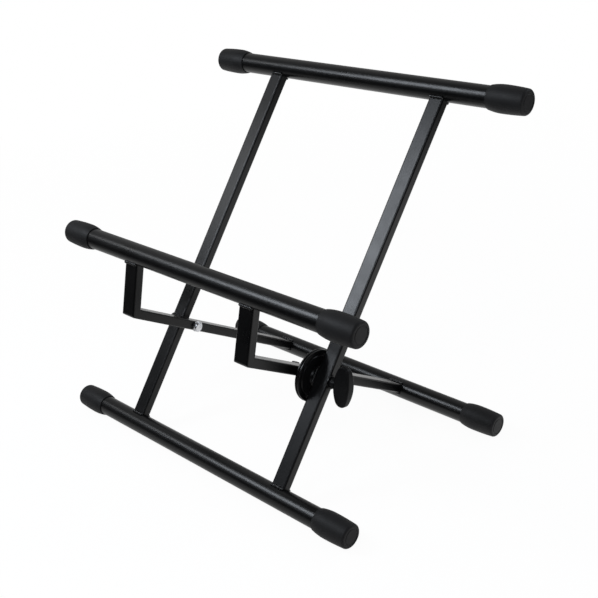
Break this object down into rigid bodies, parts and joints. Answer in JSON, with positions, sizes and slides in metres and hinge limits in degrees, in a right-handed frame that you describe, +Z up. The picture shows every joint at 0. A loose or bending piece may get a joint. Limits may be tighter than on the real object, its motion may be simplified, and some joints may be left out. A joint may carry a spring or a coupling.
{
  "type": "amplifier stand",
  "caption": "Folding X-frame stand that holds an amplifier tilted back: welded black tube frames cross at a friction clutch locked by a wing knob, with rubber caps on the bar ends.",
  "frame": {"origin": "on the floor, midway between the legs and midway between the front and rear floor bars", "axes": "+X along the bars towards the clutch and wing knob, +Y to the rear, +Z up"},
  "size_m": [0.49, 0.3557, 0.4192],
  "materials": {
    "black_coat": "satin black powder coat",
    "cap_rubber": "matte moulded rubber",
    "bright_zinc": "bright zinc plate",
    "black_oxide": "black oxide on steel",
    "bare_steel": "turned",
    "knob_plastic": "fine grain",
    "spacer_nylon": "plain",
    "friction_fibre": "pressed fibre",
    "insert_brass": "turned"
  },
  "bodies": {
    "back_frame": {"top_bar": "black_coat", "front_foot_bar": "black_coat", "left_leg": "black_coat", "right_leg": "black_coat", "top_cap_left": "cap_rubber", "top_cap_right": "cap_rubber", "front_cap_left": "cap_rubber", "front_cap_right": "cap_rubber", "leg_sleeve_left": "bare_steel", "leg_sleeve_right": "bare_steel", "leg_clutch_disc": "black_coat", "friction_ring": "friction_fibre", "clutch_rivets": "black_coat", "pivot_spacer": "spacer_nylon"},
    "cradle": {"cradle_bar": "black_coat", "rear_foot_bar": "black_coat", "left_arm": "black_coat", "right_arm": "black_coat", "left_post": "black_coat", "right_post": "black_coat", "cradle_cap_left": "cap_rubber", "cradle_cap_right": "cap_rubber", "rear_cap_left": "cap_rubber", "rear_cap_right": "cap_rubber", "arm_sleeve_left": "bare_steel", "arm_sleeve_right": "bare_steel", "arm_clutch_disc": "black_coat", "clutch_bolt": "black_oxide", "pivot_bolt": "black_oxide", "pivot_nut": "bright_zinc"},
    "knob_washer": {"knob_washer": "black_coat"},
    "knob": {"wing_knob": "knob_plastic", "knob_insert": "insert_brass"}
  },
  "joints": [
    {"name": "fold", "type": "hinge", "parent": "back_frame", "child": "cradle", "pos_m": [0, -0.04111, 0.1276], "axis": [1, 0, 0], "range_deg": [-59.2, 76.8]},
    {"name": "washer_travel", "type": "slide", "parent": "cradle", "child": "knob_washer", "axis": [1, 0, 0], "range_m": [0, 0.0038]},
    {"name": "knob_turn", "type": "hinge", "parent": "knob_washer", "child": "knob", "pos_m": [0.1406, -0.04111, 0.1276], "axis": [1, 0, 0], "range_deg": [0, 1080]}
  ],
  "couplings": [
    {"joint": "washer_travel", "follows": "knob_turn", "m_per_rad": 0.00019894}
  ]
}
